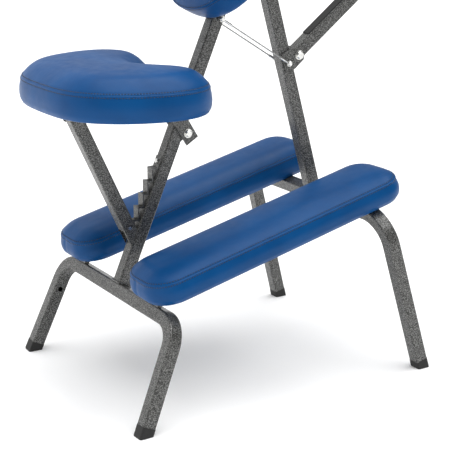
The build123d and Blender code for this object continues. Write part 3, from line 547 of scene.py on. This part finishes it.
class Cushion:
    """A boxed pad: hem, bulging wall, top seam between two rows of stitches, crowned top."""

    def __init__(self, name, plan, place, body, replaced, seam, crown, crown_reach,
                 wall_bulge=2.0, seams=(), step=4.2, margin=1.0):
        self.name, self.place, self.body = name, place, body
        self.seam, self.crown, self.crown_reach = seam, crown, crown_reach
        ring = spaced(plan, step)
        x, y = ring[:, 0], ring[:, 1]
        if ((x * np.roll(y, -1)) - (np.roll(x, -1) * y)).sum() < 0:
            ring = ring[::-1]
        self.ring, self.normal = ring, outward(ring)
        self.count = len(ring)
        self.profile(wall_bulge, margin)
        self.build()
        self.inflate()
        self.details(seams)
        self.finish(replaced)
        self.stitches()
        self.staples()

    def profile(self, bulge, margin):
        """Rings as (inset, height), from the hem up over the seam.

        A margin under 1 keeps them near the edge of a narrow cushion.
        """
        rings = [(inset * margin, height) for inset, height in HEM] + list(UNDER_EDGE)
        wall_foot = UNDER_EDGE[-1][1]
        wall_top = self.seam - WALL_TO_SEAM
        for share in np.linspace(0.10, 1.0, WALL_LEVELS):
            rings.append((WALL_INSET - bulge * math.sin(math.pi * (0.12 + 0.80 * share)),
                          wall_foot + share * (wall_top - wall_foot)))
        last = rings[-1][0]
        rings += [(last + 0.2, self.seam - 5.2), (last + 1.0, self.seam - STITCH_GAP),
                  (last + 0.3, self.seam - 2.3), (last + 0.7, self.seam - 1.0)]
        self.stitch_low = len(rings) - 3
        rings += [(1.9, self.seam + 0.1), (1.7, self.seam + 1.3)]
        self.seam_ring = len(rings) - 2
        self.stitch_high = self.seam_ring + 3
        first = TOP_EDGE[0][0]
        for inset, sink in TOP_EDGE:
            inset = first + (inset - first) * margin
            rings.append((inset, self.seam + self.rise(inset - CROWN_START) - sink))
        self.rings = rings

    def rise(self, inset):
        """Height of the crown above the seam at a distance inside it."""
        share = np.clip(np.asarray(inset, float) / self.crown_reach, 0, 1)
        return self.crown * (1 - (1 - share) ** 2.4)

    def level(self, number):
        """Indices of one ring's points."""
        return range(number * self.count, (number + 1) * self.count)

    def build(self):
        """Mesh of the rings, the top inside the last one and the board's cloth in the hem."""
        count, points, faces = self.count, [], []
        for inset, height in self.rings:
            flat = self.ring - self.normal * inset
            points.extend((x, y, height) for x, y in flat)
        for number in range(len(self.rings) - 1):
            low, high = number * count, (number + 1) * count
            for i in range(count):
                j = (i + 1) % count
                faces.append((low + i, low + j, high + j, high + i))
        top_start = (len(self.rings) - 1) * count
        inner = self.ring - self.normal * self.rings[-1][0]
        lattice, triangles = fill_ring(inner, TOP_PITCH)
        heights = self.rise(distance_to(lattice, self.ring) - CROWN_START)
        base = len(points)
        points.extend((x, y, self.seam + z) for (x, y), z in zip(lattice, heights))
        for face in triangles:
            faces.append(tuple(top_start + k if k < count else base + k - count
                               for k in face))
        hem_inset, hem_height = self.rings[0]
        lattice, triangles = fill_ring(self.ring - self.normal * hem_inset, UNDER_PITCH)
        base = len(points)
        points.extend((x, y, hem_height) for x, y in lattice)
        for face in triangles:
            faces.append(tuple(k if k < count else base + k - count
                               for k in reversed(face)))
        self.under_start = base
        self.mesh = mesh_of(self.name, np.array(points) * MM, faces)

    def set_points(self, points):
        self.mesh.vertices.foreach_set("co", points.astype(np.float32).ravel())

    def inflate(self):
        """Air pressure swells the cover between its seams; hem and seams are held."""
        rest = np.array([v.co for v in self.mesh.vertices])
        piece = bpy.data.objects.new("inflating", self.mesh.copy())
        bpy.context.scene.collection.objects.link(piece)
        held = piece.vertex_groups.new(name="held")
        fixed = list(range(HELD_RINGS * self.count)) + list(range(self.under_start, len(rest)))
        fixed += [*self.level(self.stitch_low), *self.level(self.seam_ring)]
        held.add(fixed, 1.0, "REPLACE")
        held.add(list(self.level(self.stitch_high)), 0.5, "REPLACE")
        cloth = piece.modifiers.new("cloth", "CLOTH")
        settings = cloth.settings
        settings.vertex_group_mass = "held"
        settings.quality = 5
        settings.mass = 0.35
        settings.tension_stiffness = settings.compression_stiffness = 28
        settings.bending_stiffness = 1.2
        settings.use_pressure = True
        settings.uniform_pressure_force = 4.0
        settings.effector_weights.gravity = 0
        cloth.collision_settings.use_collision = False
        cache = cloth.point_cache
        cache.frame_start, cache.frame_end = 1, CLOTH_FRAMES
        for number in range(1, CLOTH_FRAMES + 1):
            bpy.context.scene.frame_set(number)
        graph = bpy.context.evaluated_depsgraph_get()
        swollen = piece.evaluated_get(graph).to_mesh()
        moved = np.array([v.co for v in swollen.vertices]) - rest
        piece.evaluated_get(graph).to_mesh_clear()
        bpy.context.scene.frame_set(1)
        bpy.data.objects.remove(piece)
        moved = self.evened(moved, fixed)
        size = np.linalg.norm(moved, axis=1)
        limit = SWELL_CAP * MM
        scale = np.where(size > 1e-9,
                         limit * np.tanh(size / limit) / np.maximum(size, 1e-9), 1.0)
        self.set_points(rest + moved * scale[:, None])
        self.mesh.update()

    def evened(self, moved, fixed):
        """Each point's movement averaged with its neighbours', which takes out fine ripples."""
        pairs = np.array([tuple(edge.vertices) for edge in self.mesh.edges])
        links = np.bincount(pairs.ravel(), minlength=len(moved))[:, None]
        still = moved[fixed].copy()
        for _ in range(EVENING_ROUNDS):
            total = np.zeros_like(moved)
            np.add.at(total, pairs[:, 0], moved[pairs[:, 1]])
            np.add.at(total, pairs[:, 1], moved[pairs[:, 0]])
            moved = 0.4 * moved + 0.6 * total / np.maximum(links, 1)
            moved[fixed] = still
        return moved

    def details(self, seams):
        """Sewn puckers beside the seam, and vertical joins in the wall.

        seams gives the joins' places as shares of the outline.
        """
        count = self.count
        points = np.array([v.co for v in self.mesh.vertices]).reshape(-1, 3)
        normals = np.array([v.normal for v in self.mesh.vertices]).reshape(-1, 3)
        draw = random.Random(self.name)
        waves = [(draw.uniform(0.05, 0.16), draw.uniform(0, 6.28), draw.uniform(0.3, 1.0))
                 for _ in range(7)]
        along = np.arange(count) * np.linalg.norm(np.diff(self.ring[:2], axis=0))
        pucker = sum(a * np.sin(along * f + p) for f, p, a in waves) / len(waves)
        for number in range(self.stitch_low - 3, len(self.rings)):
            inset, height = self.rings[number]
            away = abs(height - self.seam) + max(0.0, inset)
            strength = PUCKER_HEIGHT * MM * math.exp(-away / PUCKER_REACH)
            rows = slice(number * count, (number + 1) * count)
            points[rows] += normals[rows] * (pucker * strength)[:, None]
        for share in seams:
            middle = int(share * count)
            for offset, depth in WALL_JOIN:
                for number in range(len(HEM), self.stitch_low + 3):
                    index = number * count + (middle + offset) % count
                    points[index] -= normals[index] * depth * MM
        self.set_points(points)
        self.mesh.transform(self.place)
        self.mesh.update()

    def finish(self, replaced):
        piece = new_piece(self.name, self.mesh, SLOT_LOOKS["blue_vinyl"], self.body)
        smooth = piece.modifiers.new("smooth", "SUBSURF")
        smooth.levels = smooth.render_levels = 1
        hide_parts(replaced)

    def stitches(self):
        """Two rows of stitches round the top seam."""
        points, faces = [], []
        for number in (self.stitch_low, self.stitch_high):
            row = [self.mesh.vertices[i] for i in self.level(number)]
            places, lengths = closed_lengths(np.array([v.co for v in row]))
            normals = np.array([v.normal for v in [*row, row[0]]])
            total = int(lengths[-1] / (STITCH_PITCH * MM))
            for k in range(total):
                start, middle, end = [(k + 0.5 + offset) / total * lengths[-1]
                                      for offset in (-STITCH_SHARE, 0, STITCH_SHARE)]
                up = Vector(at_length(middle, lengths, normals)).normalized()
                add_stitch(points, faces, Vector(at_length(start, lengths, places)),
                           Vector(at_length(end, lengths, places)), up, STITCH_RADIUS * MM)
        name = self.name + "_stitches"
        new_piece(name, mesh_of(name, points, faces), THREAD, self.body)

    def staples(self):
        """Wire staples that hold the cover's hem to the board."""
        points, faces = [], []
        line = self.ring - self.normal * STAPLE_INSET
        spacing = np.linalg.norm(self.ring[1] - self.ring[0])
        up = (self.place.to_3x3() @ Vector((0, 0, -1))).normalized()
        for i in range(0, self.count, max(4, int(round(STAPLE_SPACING / spacing)))):
            tangent = np.array([-self.normal[i][1], self.normal[i][0]])
            tilt = random.uniform(-STAPLE_TILT, STAPLE_TILT)
            direction = tangent * math.cos(tilt) + self.normal[i] * math.sin(tilt)
            start, end = [
                self.place @ Vector((x * MM, y * MM, STAPLE_HEIGHT * MM))
                for x, y in (line[i] - direction * STAPLE_HALF, line[i] + direction * STAPLE_HALF)]
            add_stitch(points, faces, start, end, up, STAPLE_RADIUS * MM)
        name = self.name + "_staples"
        new_piece(name, mesh_of(name, points, faces), SLOT_LOOKS["zinc_steel"], self.body)


STITCH_SIDES = 6
# (share of the length, share of the radius, height in radii)
STITCH_SHAPE = ((0.0, 0.45, -0.5), (0.2, 1.0, 0.25), (0.8, 1.0, 0.25), (1.0, 0.45, -0.5))


def add_stitch(points, faces, start, end, up, radius):
    """A short rounded bar on a surface, its ends sunk in it."""
    along = (end - start).normalized()
    side = along.cross(up).normalized()
    base = len(points)
    for share, grow, lift in STITCH_SHAPE:
        middle = start.lerp(end, share) + up * radius * lift
        for k in range(STITCH_SIDES):
            a = 2 * math.pi * k / STITCH_SIDES
            points.append(middle + side * (math.cos(a) * radius * grow)
                          + up * (math.sin(a) * radius * grow))
    for low in range(base, base + 3 * STITCH_SIDES, STITCH_SIDES):
        high = low + STITCH_SIDES
        for k in range(STITCH_SIDES):
            j = (k + 1) % STITCH_SIDES
            faces.append((low + k, low + j, high + j, high + k))
    faces.append(tuple(base + k for k in reversed(range(STITCH_SIDES))))
    faces.append(tuple(base + 3 * STITCH_SIDES + k for k in range(STITCH_SIDES)))


SHIN_ORIGIN = (71, 144, 211)         # from the rear feet, sideways and up, in millimetres
CHEST_BOARD_TOP = -15.8              # the chest board's cushion side, from the rear plane
FACE_BOARD_TOP = 22                  # the ring board's cushion side, from the tilt bolt


def make_cushions():
    level, upright = (1, 0, 0), (0, 0, 1)
    low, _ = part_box("seat_cushion")
    Cushion("seat_cover", seat_plan(), local_frame((REAR_FOOT_X, 0, low.z), level, upright),
            "seat", "seat_cushion", seam=46, crown=28, crown_reach=50, wall_bulge=3.5,
            seams=(0.75,))

    slope = (math.cos(SHIN_SLOPE), 0, math.sin(SHIN_SLOPE))
    rise = (-math.sin(SHIN_SLOPE), 0, math.cos(SHIN_SLOPE))
    ahead, aside, height = SHIN_ORIGIN
    for name, side in SIDES:
        origin = (REAR_FOOT_X + ahead * MM, side * aside * MM, height * MM)
        Cushion(f"shin_cover_{name}", rounded_rectangle(252, 545, 137, 51),
                local_frame(origin, slope, rise), f"shin_pad_{name}", f"shin_cushion_{name}",
                seam=40, crown=17, crown_reach=46, wall_bulge=5.0, seams=(0.57, 0.07))

    lean = (math.sin(REAR_LEAN), 0, math.cos(REAR_LEAN))
    back = (-math.cos(REAR_LEAN), 0, math.sin(REAR_LEAN))
    Cushion("chest_cover", chest_plan(),
            local_frame(rear_point(CHEST_BOARD_TOP * MM, 0), lean, back),
            "chest_pad", "chest_cushion", seam=47, crown=14, crown_reach=60, seams=(0.25,))

    low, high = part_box("armrest_cushion")
    Cushion("armrest_cover", rounded_rectangle(0, 166, 340, 48),
            local_frame(((low.x + high.x) / 2, 0, low.z), level, upright),
            "armrest", "armrest_cushion", seam=38, crown=13, crown_reach=50, seams=(0.5,))

    tilt = Vector(JOINTS["cradle_tilt"]["pos_m"])
    along = Vector((math.sin(CRADLE_LEAN), 0, math.cos(CRADLE_LEAN)))
    out = Vector((-math.cos(CRADLE_LEAN), 0, math.sin(CRADLE_LEAN)))
    Cushion("face_cover", horseshoe_plan(),
            local_frame(tilt + out * FACE_BOARD_TOP * MM, along, out),
            "cradle", "cradle_cushion", seam=38, crown=14, crown_reach=34, step=3.8,
            margin=0.5)


# ---- wire ropes, welds --------------------------------------------------------------------
def tube_points(path, radius, sides, closed=False, wobble=None):
    """Points and faces of a tube along a path; wobble scales the radius along it."""
    points, faces = [], []
    count = len(path)
    for i, place in enumerate(path):
        before = path[i - 1] if (i or closed) else path[0]
        after = path[(i + 1) % count] if (i < count - 1 or closed) else path[-1]
        along = (after - before).normalized()
        helper = Vector((0, 0, 1)) if abs(along.z) < 0.9 else Vector((1, 0, 0))
        side = along.cross(helper).normalized()
        up = side.cross(along)
        size = radius * (wobble[i] if wobble else 1.0)
        for k in range(sides):
            a = 2 * math.pi * k / sides
            points.append(place + side * math.cos(a) * size + up * math.sin(a) * size)
    for i in range(count if closed else count - 1):
        low, high = i * sides, (i + 1) % count * sides
        for k in range(sides):
            j = (k + 1) % sides
            faces.append((low + k, high + k, high + j, low + j))
    if not closed:
        faces.append(tuple(range(sides)))
        faces.append(tuple((count - 1) * sides + k for k in reversed(range(sides))))
    return points, faces


ROPE_DIAMETER = 2.8 * MM
ROPE_STRANDS = 6
ROPE_LAY = 9 * ROPE_DIAMETER         # length of one turn of the strands
STEPS_PER_LAY = 14
CABLE_A = (3.0, 722.0)               # rear cable bolt, (n, u) in the rear frame
CABLE_B = (0.0, 592.0)               # front cable bolt, (n, u) in the front frame
CABLE_Y = 19.5
FERRULE_END = 24.0                   # from the bolt to the bare rope


def rope_mesh(name, start, along, length):
    """Six strands laid round a straight core."""
    across = Vector((0, 1, 0))
    other = along.cross(across)
    points, faces = [], []
    strand = ROPE_DIAMETER / 6
    steps = int(length / ROPE_LAY * STEPS_PER_LAY)
    for k in range(-1, ROPE_STRANDS):
        reach = 0 if k < 0 else 2 * strand
        path = []
        for i in range(steps + 1):
            at = length * i / steps
            turn = 2 * math.pi * (at / ROPE_LAY + k / ROPE_STRANDS)
            offset = (across * math.cos(turn) + other * math.sin(turn)) * reach
            path.append(start + along * at + offset)
        more, sides = tube_points(path, strand * 1.02, 8)
        base = len(points)
        points += more
        faces += [tuple(base + v for v in face) for face in sides]
    return mesh_of(name, points, faces)


def make_ropes():
    """Taut wire ropes between the two posts."""
    rear = rear_point(CABLE_A[0] * MM, CABLE_A[1] * MM)
    front = front_point(CABLE_B[0] * MM, CABLE_B[1] * MM)
    along = (front - rear).normalized()
    look = wire_rope()
    for name, side in SIDES:
        shift = Vector((0, side * CABLE_Y * MM, 0))
        start = rear + shift + along * FERRULE_END * MM
        end = front + shift - along * FERRULE_END * MM
        length = (end - start).length
        mesh = rope_mesh(f"wire_rope_{name}", start, along, length)
        piece = new_piece(f"wire_rope_{name}", mesh, look, None)
        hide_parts(f"limit_cable_{name}")
        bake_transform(piece)


WELD_RADIUS = 2.0 * MM
WELD_STEP = 1.6 * MM
WELD_OUTSIDE = 0.4 * MM              # from the tube's face to the bead's centre
REAR_POST_FOOT, FRONT_POST_FOOT = 209.5 * MM, 331.5 * MM


def weld(name, corners, body):
    """A rippled weld bead round a closed outline."""
    path = [Vector(p) for p in spaced([tuple(c) for c in corners], WELD_STEP)]
    draw = random.Random(name)
    wobble = [1 + 0.16 * math.sin(i * 1.9) + draw.uniform(-0.08, 0.08)
              for i in range(len(path))]
    points, faces = tube_points(path, WELD_RADIUS, 8, closed=True, wobble=wobble)
    new_piece(name, mesh_of(name, points, faces), SLOT_LOOKS["powder_coat"], body)


def make_welds():
    half = TUBE / 2 + WELD_OUTSIDE
    square = [(-1, -1), (1, -1), (1, 1), (-1, 1)]
    rear = [rear_point(n * half, REAR_POST_FOOT, y * half) for n, y in square]
    front = [front_point(n * half, FRONT_POST_FOOT, y * half) for n, y in square]
    weld("weld_rear_post", rear, "rear_frame")
    weld("weld_front_post", front, "front_frame")


make_camera()
make_studio()
paint_nodes()
make_ropes()
make_cushions()
make_welds()
